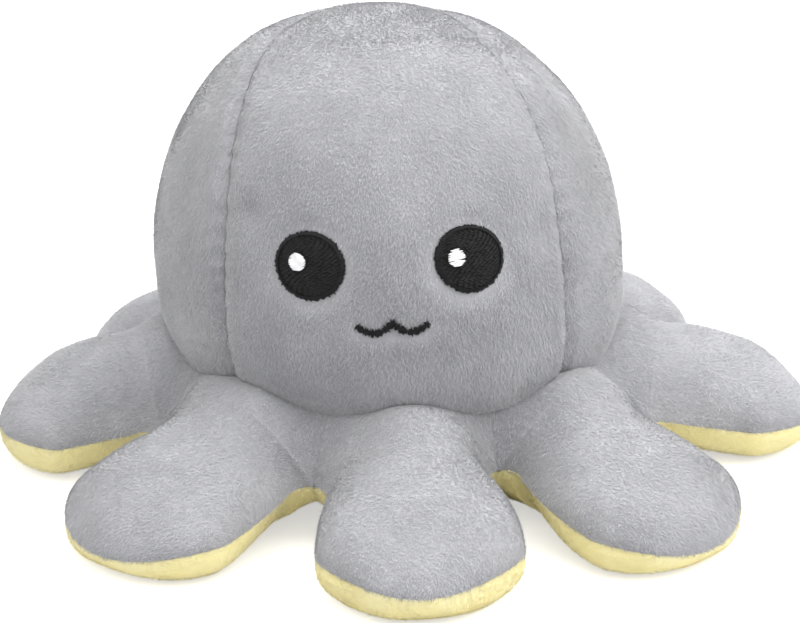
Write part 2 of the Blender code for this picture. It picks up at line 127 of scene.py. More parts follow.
for lamp_name, place, width, watts in (
    ("top_lamp", (0.05, 0.0, 1.3), 1.2, 13.5),
    ("right_lamp", (0.95, -0.25, 0.85), 0.9, 10.3),
    ("left_lamp", (-0.95, -0.25, 0.85), 0.9, 3.8),
    ("front_lamp", (0.0, -0.95, 1.0), 0.9, 2.8),
):
    lamp = bpy.data.objects.new(lamp_name, bpy.data.lights.new(lamp_name, "AREA"))
    lamp.data.size = width
    lamp.data.energy = watts
    lamp.location = place
    lamp.rotation_euler = (Vector((0.0, 0.0, 0.05)) - Vector(place)).to_track_quat("-Z", "Y").to_euler()
    bpy.context.scene.collection.objects.link(lamp)


# Head
# Four gores of grey short-pile plush, sewn edge to edge and stuffed hard, so each seam lies in a valley.
# They meet behind the top of the head, and their lower ends are sewn to the tentacles' cloth.
HEAD_RADIUS = 0.0564
HEAD_RISE = 0.0651  # from the widest place up to the crown, and down to where the round would close
HEAD_DROP = 0.0400
EQUATOR_HEIGHT = 0.0450
HEAD_MIDDLE = Vector((-0.0024, 0.0, EQUATOR_HEIGHT))
HEAD_LEAN = -0.0023
HEAD_POWER = 2.30
FACE_TURN = math.radians(2.5)
CROWN_TILT = math.radians(27.0)
CLOTH = 0.0010
SEAM_GAP = 0.0001
NECK_HEIGHT = 0.0290
EYE_PLACES = (Vector((-0.0204, -0.0520, 0.0668)), Vector((0.0158, -0.0512, 0.0678)))
EYE_RADIUS = 0.0088
MOUTH_PLACE = Vector((-0.0020, -0.0560, 0.0515))
HEAD_DENTS = (  # place, width and depth, which is negative for a bulge
    (Vector((-0.0344, -0.0419, 0.0756)), 0.0042, 0.0011),
    (Vector((0.0325, -0.0400, 0.0709)), 0.0050, 0.0009),
    (Vector((0.0001, -0.0099, 0.1089)), 0.0045, 0.0012),
    (Vector((0.0092, -0.0159, 0.1066)), 0.0050, 0.0007),
    (Vector((-0.0300, 0.0020, 0.1055)), 0.0120, -0.0006),
    (Vector((0.0370, 0.0010, 0.0990)), 0.0120, 0.0007),
)
HEAD_FOLD = (  # the line of a soft fold across the crown
    Vector((0.0040, -0.0108, 0.1084)),
    Vector((0.0124, -0.0066, 0.1075)),
    Vector((0.0210, -0.0040, 0.1048)),
    Vector((0.0288, -0.0037, 0.1006)),
    Vector((0.0352, -0.0036, 0.0955)),
    Vector((0.0395, 0.0013, 0.0910)),
)
FOLD_WIDTH = 0.0032
FOLD_DEPTH = 0.0010
EYE_SINK = 0.0007
VALLEY_DEPTH = 0.0012
VALLEY_REACH = 0.0070
LIP_RISE = 0.0003
LIP_DISTANCE = 0.0032
LIP_WIDTH = 0.0014
CREASE_DEPTH = 0.0003
CREASE_REACH = 0.0014
PUCKER_DEPTH = 0.0003
PUCKER_PITCH = 0.0040
PUCKER_REACH = 0.0032


def on_oval(direction, middle, radius, rise, drop, power, inset):
    """The point of a round-topped oval in this direction, moved inwards by inset along its normal."""
    up = direction.z >= 0
    height, power = (rise, power) if up else (drop, 2.0)
    flat = math.hypot(direction.x, direction.y)
    reach = ((flat / radius) ** power + (abs(direction.z) / height) ** power) ** (-1 / power)
    out = (flat * reach / radius) ** (power - 1) / radius
    tall = (abs(direction.z) * reach / height) ** (power - 1) / height
    if flat > 0:
        normal = Vector((direction.x * out / flat, direction.y * out / flat, tall if up else -tall))
    else:
        normal = Vector((0.0, 0.0, 1.0))
    return middle + direction * reach - normal.normalized() * inset


def on_head(direction, inset):
    point = on_oval(direction, HEAD_MIDDLE, HEAD_RADIUS, HEAD_RISE, HEAD_DROP, HEAD_POWER, inset)
    point.x += HEAD_LEAN * (point.z - EQUATOR_HEIGHT) / HEAD_RISE
    return point


def heading(turn, rise):
    """The direction at an angle round from straight ahead, positive to the right, and a height angle."""
    return Vector((math.cos(rise) * math.sin(turn), -math.cos(rise) * math.cos(turn), math.sin(rise)))


def gore_direction(turn, rise):
    """A gore's own direction: the higher it is, the more it leans back."""
    lean = CROWN_TILT * max(0.0, math.sin(rise)) ** 1.5
    return Matrix.Rotation(-lean, 3, "X") @ heading(turn, rise)


def lump(point, size, seed):
    """Smooth unevenness of the stuffing, from about -1 to 1, with lumps of this size."""
    return noise.noise(point / size + Vector((seed, 3.7 * seed, -1.9 * seed)))


def bell(distance, width):
    return math.exp(-((distance / width) ** 2))


def seam_valley(distance, along, seed):
    """How deep the cloth lies near a seam: a valley with low lips, a tight crease and puckers across it."""
    valley = VALLEY_DEPTH * max(0.0, 1 - distance / VALLEY_REACH) ** 2
    valley -= LIP_RISE * bell(distance - LIP_DISTANCE, LIP_WIDTH)
    crease = CREASE_DEPTH * max(0.0, 1 - distance / CREASE_REACH) ** 1.5
    waver = noise.noise(Vector((along / 0.006, seed, 0.0)))
    strength = 0.5 + 0.5 * noise.noise(Vector((along / 0.015, seed + 4.0, 0.0)))
    wave = math.sin(2 * math.pi * along / PUCKER_PITCH + 3.0 * waver)
    return valley + crease + PUCKER_DEPTH * strength * wave * bell(distance, PUCKER_REACH)


def fold_depth(point, line, width, depth):
    """How deep a soft fold along a line of points is at this point."""
    nearest = 1.0
    for first, second in zip(line, line[1:]):
        step = second - first
        share = min(1.0, max(0.0, (point - first).dot(step) / step.length_squared))
        nearest = min(nearest, (point - first - step * share).length)
    return depth * bell(nearest, width)


def head_skin(direction, inset):
    """The stuffed skin of the head: round, a little lumpy, dented and folded, pressed in by the eyes."""
    plain = on_head(direction, 0.0)
    inset -= 0.0006 * lump(plain, 0.030, 2.0) + 0.0003 * lump(plain, 0.012, 5.0)
    for place, width, depth in HEAD_DENTS:
        inset += depth * bell((plain - place).length, width)
    inset += fold_depth(plain, HEAD_FOLD, FOLD_WIDTH, FOLD_DEPTH)
    for eye in EYE_PLACES:
        away = (plain - eye).length
        inset += EYE_SINK / (1 + math.exp((away - EYE_RADIUS - 0.0016) / 0.0006))
    return on_head(direction, inset)


def pressed(point, stitches):
    """How far the pile is pressed down at a point: 1 under stitches, and 0 away from them."""
    share = 0.0
    for middle, half_length, half_width in stitches:
        away = point - middle
        away.x -= max(-half_length, min(half_length, away.x))
        share = max(share, min(1.0, math.exp((half_width - away.length) / 0.0016)))
    return share


def sewn_sheet(name, grid, place, plush, brushed=1, stitches=(), thickness=CLOTH):
    """One cut of plush, from a flat grid. place gives the point and the flat pattern's point of two shares.

    plush is a slot, a material and its pile. The pile lies along the pattern's length, or against it where
    brushed is -1. It is flat round each of the stitches, given as a middle, a half length and a half width,
    and there is none under them, nor where the cloth is pressed on the table. The colour holds painted light
    and
    shade: paler where the cloth faces up and round the stitches, darker where it faces down and where its
    pile lies downhill.
    """
    slot, look, pile = plush
    bm = bmesh.new()
    bmesh.ops.create_grid(bm, x_segments=grid[0], y_segments=grid[1], size=0.5)
    lie = bm.verts.layers.float_vector.new("lie")
    furry = bm.verts.layers.float.new("furry")
    flats = []
    for vert in bm.verts:
        across, along = vert.co.x + 0.5, vert.co.y + 0.5
        vert.co, flat = place(across, along)
        ahead, _ = place(across, along + 0.004 if along < 0.5 else along - 0.004)
        vert[lie] = (ahead - vert.co).normalized() * (brushed if along < 0.5 else -brushed)
        off_table = min(1.0, max(0.0, vert.co.z / 0.0016 - 0.25))
        vert[furry] = (1.0 - pressed(vert.co, stitches) ** 3) * off_table
        flats.append(flat)
    bm.verts.index_update()
    bm.normal_update()
    painted_shade = bm.verts.layers.float.new("painted_shade")
    for vert in bm.verts:
        # Painted light and shade in the colour: paler facing up and round the stitches, darker facing down
        # and where the pile lies downhill.
        shade = 0.25 + 0.84 * vert.normal.z + 0.33 * vert[lie].z + 0.6 * pressed(vert.co, stitches)
        vert[painted_shade] = min(1.0, max(0.0, shade))
    nap = bm.loops.layers.uv.new("nap")
    for face in bm.faces:
        face.smooth = True
        for loop in face.loops:
            loop[nap].uv = flats[loop.vert.index]
    wall = bmesh.ops.solidify(bm, geom=bm.faces[:], thickness=thickness)
    for part in wall["geom"]:
        if isinstance(part, bmesh.types.BMVert):
            part[furry] = 0.0
    mesh = bpy.data.meshes.new(name)
    bm.to_mesh(mesh)
    bm.free()
    mesh.materials.append(look)
    piece = bpy.data.objects.new(name, mesh)
    bpy.context.scene.collection.objects.link(piece)
    piece.modifiers.new("pile", "NODES").node_group = pile
    return piece


def short_pile(name, look, per_square_metre, length, width, lift):
    """Short brushed fibres that stand on the cloth's face, leaning the way its pile lies."""
    group = bpy.data.node_groups.new(name, "GeometryNodeTree")
    group.interface.new_socket("Geometry", in_out="INPUT", socket_type="NodeSocketGeometry")
    group.interface.new_socket("Geometry", in_out="OUTPUT", socket_type="NodeSocketGeometry")

    def node(kind, values=None, **settings):
        made = group.nodes.new(kind)
        for key, value in settings.items():
            setattr(made, key, value)
        for socket, value in (values or {}).items():
            made.inputs[socket].default_value = value
        return made

    def link(source, output, target, socket):
        group.links.new(source.outputs[output], target.inputs[socket])

    cloth = node("NodeGroupInput")
    furry = node("GeometryNodeInputNamedAttribute", {"Name": "furry"}, data_type="FLOAT")
    lie = node("GeometryNodeInputNamedAttribute", {"Name": "lie"}, data_type="FLOAT_VECTOR")
    thick = node("ShaderNodeMath", {1: per_square_metre}, operation="MULTIPLY")
    roots = node("GeometryNodeDistributePointsOnFaces", {"Seed": 4})
    link(furry, "Attribute", thick, 0)
    link(cloth, "Geometry", roots, "Mesh")
    link(thick, 0, roots, "Density")

    stray_range = {0: (-0.9, -0.9, -0.9), 1: (0.9, 0.9, 0.9)}
    stray = node("FunctionNodeRandomValue", stray_range, data_type="FLOAT_VECTOR")
    swirl = node("ShaderNodeTexNoise", {"Scale": 70.0, "Detail": 1.0})
    middle = node("ShaderNodeVectorMath", {1: (0.5, 0.5, 0.5)}, operation="SUBTRACT")
    wide = node("ShaderNodeVectorMath", {"Scale": 2.6}, operation="SCALE")
    stand = node("ShaderNodeVectorMath", {"Scale": lift}, operation="SCALE")
    total = [node("ShaderNodeVectorMath", operation="ADD") for _ in range(3)]
    link(swirl, "Color", middle, 0)
    link(middle, 0, wide, 0)
    link(roots, "Normal", stand, 0)
    link(lie, "Attribute", total[0], 0)
    link(wide, 0, total[0], 1)
    link(total[0], 0, total[1], 0)
    link(stray, "Value", total[1], 1)
    flat = node("ShaderNodeVectorMath", operation="PROJECT")
    level = node("ShaderNodeVectorMath", operation="SUBTRACT")
    even = node("ShaderNodeVectorMath", operation="NORMALIZE")
    link(total[1], 0, flat, 0)
    link(roots, "Normal", flat, 1)
    link(total[1], 0, level, 0)
    link(flat, 0, level, 1)
    link(level, 0, even, 0)
    link(even, 0, total[2], 0)
    link(stand, 0, total[2], 1)
    along = node("FunctionNodeAlignRotationToVector", axis="X")
    facing = node("FunctionNodeAlignRotationToVector", axis="Z", pivot_axis="X")
    link(total[2], 0, along, "Vector")
    link(along, 0, facing, "Rotation")
    link(roots, "Normal", facing, "Vector")

    blade = node("GeometryNodeMeshCircle", {"Vertices": 3, "Radius": 1.0}, fill_type="NGON")
    blade_place = {"Translation": (length / 3, 0.0, 0.0), "Scale": (length / 1.5, width / 1.732, 1.0)}
    shaped = node("GeometryNodeTransform", blade_place)
    here = node("GeometryNodeInputPosition")
    parts = node("ShaderNodeSeparateXYZ")
    reach = node("ShaderNodeMath", {1: length}, operation="DIVIDE")
    tipped = node("GeometryNodeStoreNamedAttribute", {"Name": "tip"}, data_type="FLOAT", domain="POINT")
    coloured = node("GeometryNodeSetMaterial", {"Material": look})
    link(blade, "Mesh", shaped, "Geometry")
    link(here, 0, parts, 0)
    link(parts, "X", reach, 0)
    link(shaped, "Geometry", tipped, "Geometry")
    link(reach, 0, tipped, "Value")
    link(tipped, "Geometry", coloured, "Geometry")

    size = node("FunctionNodeRandomValue", {2: 0.6, 3: 1.25}, data_type="FLOAT")
    tint = node("FunctionNodeRandomValue", {2: 0.0, 3: 1.0, "Seed": 9}, data_type="FLOAT")
    planted = node("GeometryNodeInstanceOnPoints")
    tinted = node(
        "GeometryNodeStoreNamedAttribute", {"Name": "fibre"}, data_type="FLOAT", domain="INSTANCE"
    )
    real = node("GeometryNodeRealizeInstances")
    both = node("GeometryNodeJoinGeometry")
    link(roots, "Points", planted, "Points")
    link(coloured, "Geometry", planted, "Instance")
    link(facing, 0, planted, "Rotation")
    link(size, 1, planted, "Scale")
    link(planted, "Instances", tinted, "Geometry")
    link(tint, 1, tinted, "Value")
    link(tinted, "Geometry", real, "Geometry")
    link(cloth, "Geometry", both, "Geometry")
    link(real, "Geometry", both, "Geometry")
    link(both, "Geometry", node("NodeGroupOutput"), "Geometry")
    return group


def brushed_plush(name, dark, light, sheen):
    """Short-pile plush: fine streaks of fibre along the pattern's length, softly brushed patches, and painted
    light and shade from how each sheet faces.
    """
    look = bpy.data.materials.new(name)
    look.use_nodes = True
    tree = look.node_tree
    shader = tree.nodes["Principled BSDF"]
    shader.inputs["Roughness"].default_value = 0.92
    shader.inputs["Specular IOR Level"].default_value = 0.15
    shader.inputs["Sheen Weight"].default_value = sheen
    shader.inputs["Sheen Roughness"].default_value = 0.5
    shader.inputs["Sheen Tint"].default_value = (1.0, 1.0, 1.0, 1.0)

    nap = add_node(tree, "UVMap", uv_map="nap")
    drift = add_node(tree, "TexNoise", {"Scale": 6.0, "Detail": 3.0, "Roughness": 0.6})
    centre = add_node(tree, "VectorMath", {1: (0.5, 0.5, 0.5)}, operation="SUBTRACT")
    swing = add_node(tree, "VectorMath", {1: (0.16, 0.09, 0.0)}, operation="MULTIPLY")
    brushed = add_node(tree, "VectorMath", operation="ADD")
    tree.links.new(nap.outputs[0], drift.inputs["Vector"])
    tree.links.new(drift.outputs["Color"], centre.inputs[0])
    tree.links.new(centre.outputs[0], swing.inputs[0])
    tree.links.new(nap.outputs[0], brushed.inputs[0])
    tree.links.new(swing.outputs[0], brushed.inputs[1])

    fibres = []
    for across, along, detail in ((210.0, 48.0, 2.0), (460.0, 130.0, 2.0)):
        stretch = add_node(tree, "VectorMath", {1: (across, along, 1.0)}, operation="MULTIPLY")
        fibre = add_node(tree, "TexNoise", {"Scale": 1.0, "Detail": detail, "Roughness": 0.6})
        tree.links.new(brushed.outputs[0], stretch.inputs[0])
        tree.links.new(stretch.outputs[0], fibre.inputs["Vector"])
        fibres.append(fibre)
    pile = add_node(tree, "Mix", {0: 0.45}, data_type="FLOAT")
    tree.links.new(fibres[0].outputs[0], pile.inputs[2])
    tree.links.new(fibres[1].outputs[0], pile.inputs[3])
    patches = add_node(tree, "TexNoise", {"Scale": 5.0, "Detail": 5.0, "Roughness": 0.62})
    tree.links.new(brushed.outputs[0], patches.inputs["Vector"])

    fibre = add_node(tree, "Attribute", attribute_name="fibre")
    tip = add_node(tree, "Attribute", attribute_name="tip")
    # This attribute is painted light and shade: paler where the cloth faces up, darker where it faces down.
    painted_shade = add_node(tree, "Attribute", attribute_name="painted_shade")
    parts = []
    for source, output, low, high, share in (
        (patches, 0, 0.33, 0.67, 0.20),
        (pile, 0, 0.30, 0.70, 0.04),
        (fibre, "Fac", 0.0, 1.0, 0.33),
        (tip, "Fac", 0.0, 1.0, 0.08),
        (painted_shade, "Fac", 0.0, 1.0, 0.36),
    ):
        part = add_node(tree, "MapRange", {1: low, 2: high, 3: 0.0, 4: share})
        tree.links.new(source.outputs[output], part.inputs[0])
        parts.append(part)
    total = parts[0]
    for part in parts[1:]:
        added = add_node(tree, "Math", operation="ADD")
        tree.links.new(total.outputs[0], added.inputs[0])
        tree.links.new(part.outputs[0], added.inputs[1])
        total = added
    colour = add_node(tree, "Mix", {6: (*dark, 1.0), 7: (*light, 1.0)}, data_type="RGBA")
    tree.links.new(total.outputs[0], colour.inputs[0])
    tree.links.new(colour.outputs[2], shader.inputs["Base Color"])

    relief = add_node(tree, "Bump", {"Strength": 0.9, "Distance": 0.0004})
    tree.links.new(pile.outputs[0], relief.inputs["Height"])
    tree.links.new(relief.outputs[0], shader.inputs["Normal"])
    return look


grey_look = brushed_plush("grey_plush", (0.25, 0.25, 0.27), (0.70, 0.70, 0.73), 1.0)
grey_pile = short_pile("grey_pile", grey_look, 8.0e6, 0.0010, 0.00021, 0.55)
grey_plush = ("grey_plush", grey_look, grey_pile)

# A gore's lower edge is where the head meets the tentacles, at the neck's height.
neck_drop = EQUATOR_HEIGHT - NECK_HEIGHT
NECK_RADIUS = HEAD_RADIUS * math.sqrt(1 - (neck_drop / HEAD_DROP) ** 2)
neck_rise = -math.atan2(neck_drop, NECK_RADIUS)
head_stitches = [(eye, 0.0, EYE_RADIUS) for eye in EYE_PLACES] + [(MOUTH_PLACE, 0.0080, 0.0010)]
for number, side in enumerate(("front", "right", "back", "left")):
    gore_middle = FACE_TURN + number * math.pi / 2

    def gore_place(across, along, gore_middle=gore_middle, number=number):
        rise = neck_rise + (math.radians(89.4) - neck_rise) * along
        spread = HEAD_RADIUS * math.cos(rise)
        half = math.pi / 4 - min(math.pi / 4, SEAM_GAP / 2 / spread)
        share = 2 * across - 1 - 0.6 * math.sin(2 * math.pi * across) / math.pi
        turn = gore_middle + half * share - 0.054 * bell(rise - 0.98, 0.25)
        distance = spread * half * (1 - abs(share))
        seam = number + (0.5 if share > 0 else -0.5)
        inset = seam_valley(distance, rise * HEAD_RADIUS, 3.0 + 7.0 * (seam % 4))
        point = head_skin(gore_direction(turn, rise), inset)
        return point, (10 * spread * half * share, 10 * rise * 0.062)

    name = "head_gore_" + side
    gore = sewn_sheet(name, (92, 140), gore_place, grey_plush, -1, head_stitches)
    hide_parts("head_panel_" + side, "head_stuffing")
    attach(gore, "head")


# Tentacles
# Each is a grey top and a yellow underside, sewn together round the paddle's edge and stuffed softly.
# Near the head the tops run together in a web, and a U-shaped notch is cut between two neighbours. The
# undersides roll in under the notch's edge and are drawn up there, so that light shows under the web.
HINGE_RADIUS = 0.050
HINGE_HEIGHT = 0.0155
TIP_RADIUS = 0.100
NOSE_LENGTH = 0.0170
WIDEST_RADIUS = 0.083
WIDEST_HALF = 0.0232
SEAM_HEIGHT = 0.0095
NOTCH_WIDTH = 0.0042
NOTCH_RADIUS = 0.0625
NOTCHES_NEARER = {"front": 0.0545, "front_left": 0.0600}  # by the tentacle on the notch's left
RING_TURN = math.radians(3.5)
ROOT_SWELL = 0.0042
WEB_HEIGHT = 0.0325
TOP_SHARES = (0.28, 0.64)  # of the sheet's rows, up to the notch and up to the widest place
UNDER_SHARES = (0.36, 0.68)
UNDER_START = 0.034
UNDER_LEVEL = 0.0008
ROLL_DEPTH = 0.0052
ROLL_REACH = 0.0032
ROLL_FADE = 0.0130
BEND_START = 0.056
BEND_END = 0.074
TENTACLES = {  # turn in degrees, top's swelling and fullness, tip's bend, longer and slimmer nose, its seam
    "front": (0.0, 0.0, 2.6, -0.0016, 0.0020, 0.32, 0.0086),
    "front_right": (-3.0, 0.0, 2.6, 0.0, -0.0008, 0.07, 0.0052),
    "right": (1.9, 0.09, 3.2, 0.0, 0.0030, 0.10, 0.0066),
    "back_right": (-0.2, 0.20, 2.6, 0.0, 0.0, 0.05, 0.0046),
    "back": (1.0, 0.0, 2.6, 0.0, 0.0, 0.05, 0.0046),
    "back_left": (1.6, -0.04, 2.6, -0.0035, -0.0040, 0.05, 0.0046),
    "left": (-2.2, 0.20, 2.6, 0.0, -0.0016, 0.16, 0.0080),
    "front_left": (-0.4, 0.02, 2.6, -0.0018, 0.0004, 0.06, 0.0056),
}
azimuths = [
    math.pi / 4 * index - math.pi / 2 + RING_TURN + math.radians(facts[0])
    for index, facts in enumerate(TENTACLES.values())
]


def neck_reach(azimuth, height):
    """How far from the ring's middle the head's skin is at this height."""
    drop = (EQUATOR_HEIGHT - height) / HEAD_DROP
    return HEAD_RADIUS * math.sqrt(1 - drop * drop) + HEAD_MIDDLE.x * math.cos(azimuth)


def notch_flank(wedge, notch):
    """How a notch's side draws away from its middle line, so that it runs into the paddle's widest place."""
    along = WIDEST_RADIUS * math.cos(wedge) + WIDEST_HALF * math.sin(wedge) - notch
    away = WIDEST_RADIUS * math.sin(wedge) - WIDEST_HALF * math.cos(wedge) - NOTCH_WIDTH
    curve = (math.tan(wedge) * along - away) / along**2
    slope = math.tan(wedge) - 2 * curve * along
    return along, slope, curve


def from_notch(x, y, wedge, notch):
    """How far a plan point lies ahead of the notch's inner end, and how far inside the notch's edge."""
    _, slope, curve = notch_flank(wedge, notch)
    ahead = x * math.cos(wedge) + y * math.sin(wedge) - notch
    widening = max(0.0, slope * ahead + curve * ahead * max(0.0, ahead))
    aside = x * math.sin(wedge) - y * math.cos(wedge) - widening
    return ahead, max(0.0, math.hypot(aside, max(0.0, NOTCH_WIDTH - ahead)) - NOTCH_WIDTH)


def paddle_edge(wedge, notch, past):
    """The plan point of the seam at a distance past the notch, measured along the notch's middle line."""
    _, slope, curve = notch_flank(wedge, notch)
    round_part = min(1.0, past / NOTCH_WIDTH)
    away = NOTCH_WIDTH * math.sqrt(1 - (1 - round_part) ** 2) + slope * past + curve * past**2
    radius = notch + past
    return (
        radius * math.cos(wedge) + away * math.sin(wedge),
        radius * math.sin(wedge) - away * math.cos(wedge),
    )


def paddle_row(sides, share, shares):
    """A function of the crosswise share that gives a plan point, for the row at this share of the length.

    shares says which share of the rows ends at the notch and which at the widest place. sides has, left
    and right, the angle to the notch's middle line, the notch's radius and the inner end's.
    The function also gives how far the row lies into the web (1 at the inner end, 0 from the notch on) and
    how far past the widest place (0 to 1 at the tip).
    """
    web_share, side_share = shares
    if share < web_share:
        part = (share / web_share) ** 1.15
        reaches = [inner + (notch - inner) * part for _, notch, inner in sides]
        middle = sum(reaches) / 2

        def row(cross):
            side = 0 if cross > 0 else 1
            wedge, reach = sides[side][0], reaches[side]
            x = middle + (reach * math.cos(wedge) - middle) * cross * cross
            return x, reach * math.sin(wedge) * cross, 1 - part, 0.0

    elif share < side_share:
        part = ((share - web_share) / (side_share - web_share)) ** 1.7
        edges = [paddle_edge(wedge, notch, part * notch_flank(wedge, notch)[0]) for wedge, notch, _ in sides]
        notch = (sides[0][1] + sides[1][1]) / 2
        reach = notch_flank(math.pi / 8, notch)[0]
        even, first = (paddle_edge(math.pi / 8, notch, past * reach)[0] for past in (part, 0.0))
        middle = notch + (WIDEST_RADIUS - notch) * (even - first) / (WIDEST_RADIUS - first)

        def row(cross):
            edge = edges[0] if cross > 0 else edges[1]
            return middle + (edge[0] - middle) * cross * cross, edge[1] * cross, 0.0, 0.0

    else:
        nose = math.sin(math.pi / 2 * (share - side_share) / (1 - side_share))

        def row(cross):
            past = nose * math.sqrt(1 - cross * cross / 2)
            y = WIDEST_HALF * cross * math.sqrt(1 - nose * nose / 2)
            return WIDEST_RADIUS + NOSE_LENGTH * past, y, 0.0, past

    return row


def to_seam(cross, y, past):
    """The share of the way from the middle line to the seam, also in the round end."""
    if past <= 0:
        return abs(cross)
    return min(1.0, abs(y) / (WIDEST_HALF * math.sqrt(max(1e-9, 1 - past * past))))


def seam_level(out, past, tip_seam):
    near = min(1.0, max(0.0, out) / (WIDEST_RADIUS - HINGE_RADIUS))
    level = HINGE_HEIGHT - (HINGE_HEIGHT - SEAM_HEIGHT) * near
    return level - (SEAM_HEIGHT - tip_seam) * past**2


def falling_top(out, full):
    """How high the top stands over the seam at this distance past the hinge."""
    share = min(1.0, max(0.0, out) / (TIP_RADIUS - HINGE_RADIUS))
    return HINGE_HEIGHT * (1 - share**full) ** 0.714


def in_ring(x, y, z, azimuth, nose):
    """A tentacle's own point in its place round the ring, its nose bent sideways, drawn out and slimmer."""
    bend, longer, slim, _ = nose
    reach = max(0.0, (x - 0.058) / 0.042)
    y = y * (1 - slim * max(0.0, (x - WIDEST_RADIUS) / NOSE_LENGTH)) + bend * reach**2
    return Matrix.Rotation(azimuth, 3, "Z") @ Vector((x + longer * reach**2, y, z))


def flat_pattern(cross_angle, x, past):
    """Where a point of the tentacle lies on its flat pattern, in tenths of a metre."""
    along = x if past <= 0 else WIDEST_RADIUS + 0.0155 * math.asin(min(1.0, past))
    return 0.165 * cross_angle, 10 * along


def top_place(azimuth, sides, swell, full, nose, seed):
    """The stuffed grey top of one tentacle, from the neck seam out to its tip."""
    notch = (sides[0][1] + sides[1][1]) / 2

    def place(across, along):
        cross_angle = math.pi / 2 * (1 - 2 * across)
        cross = math.sin(cross_angle)
        x, y, web, past = paddle_row(sides, along, TOP_SHARES)(cross)
        share = to_seam(cross, y, past)
        out = x - HINGE_RADIUS
        seam = seam_level(out, past, nose[3])
        tall = falling_top(out, full) * (1 + swell * min(1.0, max(0.0, (x - 0.055) / 0.02)))
        tall += ROOT_SWELL * bell(x - BEND_START, 0.0075)
        low = seam + (WEB_HEIGHT - seam) * web**1.35
        soft = bell(max(0.0, x - notch), 0.0115) if web <= 0 else 1.0
        power = 0.5 + 0.40 * soft + 0.35 * math.sqrt(web)
        z = low + (seam + tall - low) * max(0.0, 1 - share ** (2 + 0.5 * web)) ** power
        rounded = min(1.0, along / 0.10)
        z = NECK_HEIGHT + (z - NECK_HEIGHT) * math.sqrt(1 - (1 - rounded) ** 2)
        point = in_ring(x, y, z, azimuth, nose)
        free = (1 - share**4) * min(1.0, along / 0.15) * min(1.0, 4 * (1 - past))
        point.z += free * (0.0011 * lump(point, 0.022, seed) + 0.0005 * lump(point, 0.010, seed + 3.0))
        return point, flat_pattern(cross_angle, x, past)

    return place


def under_place(azimuth, sides, nose, seed):
    """The stuffed yellow underside, pressed flat where it rests, from the pocket's rim out to the tip."""

    def place(across, along):
        cross_angle = math.pi / 2 * (2 * across - 1)
        cross = math.sin(cross_angle)
        x, y, web, past = paddle_row(sides, along, UNDER_SHARES)(cross)
        share = to_seam(cross, y, past)
        out = x - HINGE_RADIUS
        low = UNDER_LEVEL + (seam_level(out, past, nose[3]) - UNDER_LEVEL) * (1 - web**2)
        power = 2 + 1.5 * min(1.0, max(0.0, out) / (WIDEST_RADIUS - HINGE_RADIUS)) + 0.6 * web
        ahead, inward = from_notch(x, abs(y), *sides[0 if cross > 0 else 1][:2])
        tucked = bell(max(0.0, ahead), ROLL_FADE)
        roll = ROLL_DEPTH * tucked * (1 - web**2)
        belly = (low + 0.0004 - roll) * (1 - past**2.5) ** 0.4
        rounding = 1 / power + (1.5 - 1 / power) * tucked
        z = low - SEAM_GAP - roll * (1 - (1 - min(1.0, inward / ROLL_REACH)) ** 2)
        z -= belly * max(0.0, 1 - share ** (power * (1 - 0.2 * tucked))) ** rounding
        point = in_ring(x, y, z, azimuth, nose)
        point.z += 0.0005 * lump(point, 0.014, seed) * (1 - share**4) * min(1.0, 4 * (1 - past))
        point.z = max(point.z, 0.0)
        return point, flat_pattern(cross_angle, x, past)

    return place


yellow_look = brushed_plush("yellow_plush", (0.89, 0.79, 0.37), (0.97, 0.95, 0.70), 0.30)
yellow_pile = short_pile("yellow_pile", yellow_look, 5.0e6, 0.0009, 0.00021, 0.5)
yellow_plush = ("yellow_plush", yellow_look, yellow_pile)

for index, (place_name, (_, swell, full, *nose)) in enumerate(TENTACLES.items()):
    azimuth = azimuths[index]
    sides = []
    for other, owner, sign in ((azimuths[(index + 1) % 8], place_name, 1), (azimuths[index - 1], None, -1)):
        wedge = (sign * (other - azimuth)) % (2 * math.pi) / 2
        owner = owner or list(TENTACLES)[index - 1]
        notch = NOTCHES_NEARER.get(owner, NOTCH_RADIUS)
        sides.append((wedge, notch, azimuth + sign * wedge))
    outwards = Vector((math.cos(azimuth), math.sin(azimuth), 0.0))
    top_sides = [(wedge, notch, neck_reach(at, NECK_HEIGHT) - 0.0016) for wedge, notch, at in sides]
    top_shape = top_place(azimuth, top_sides, swell, full, nose, 1.3 * index + 0.5)
    top = sewn_sheet("tentacle_top_" + place_name, (60, 88), top_shape, grey_plush)
    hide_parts("tentacle_" + place_name + "_top", "tentacle_" + place_name + "_stuffing")
    under_sides = [(wedge, notch, UNDER_START) for wedge, notch, _ in sides]
    under_shape = under_place(azimuth, under_sides, nose, 2.1 * index + 9.5)
    under_name = "tentacle_under_" + place_name
    under = sewn_sheet(under_name, (48, 84), under_shape, yellow_plush, thickness=0.4 * CLOTH)
    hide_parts("tentacle_" + place_name + "_underside")
    for piece in (top, under):
        start, end = outwards * BEND_START, outwards * BEND_END
        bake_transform(piece)
        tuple(start)
        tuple(end)


# Neck seam
# The turned-in edges of the head's gores and of the tentacles' tops, sewn together in a gathered ring.
# It lies deep in the crease under the head and shows only as the crease's dark floor.
NECK_PROFILE = (  # how far from the head's skin, and how high
    (-0.0010, 0.0312),
    (-0.0022, 0.0302),
    (-0.0028, 0.0290),
    (-0.0024, 0.0278),
    (-0.0010, 0.0268),
)
NECK_GATHERS = 40
NECK_GATHER_DEPTH = 0.0003


def on_profile(profile, share):
    """The point at this share of a profile, its stretches counted as equally long."""
    spot = share * (len(profile) - 1)
    first = min(int(spot), len(profile) - 2)
    (near, low), (far, high) = profile[first], profile[first + 1]
    return near + (far - near) * (spot - first), low + (high - low) * (spot - first)


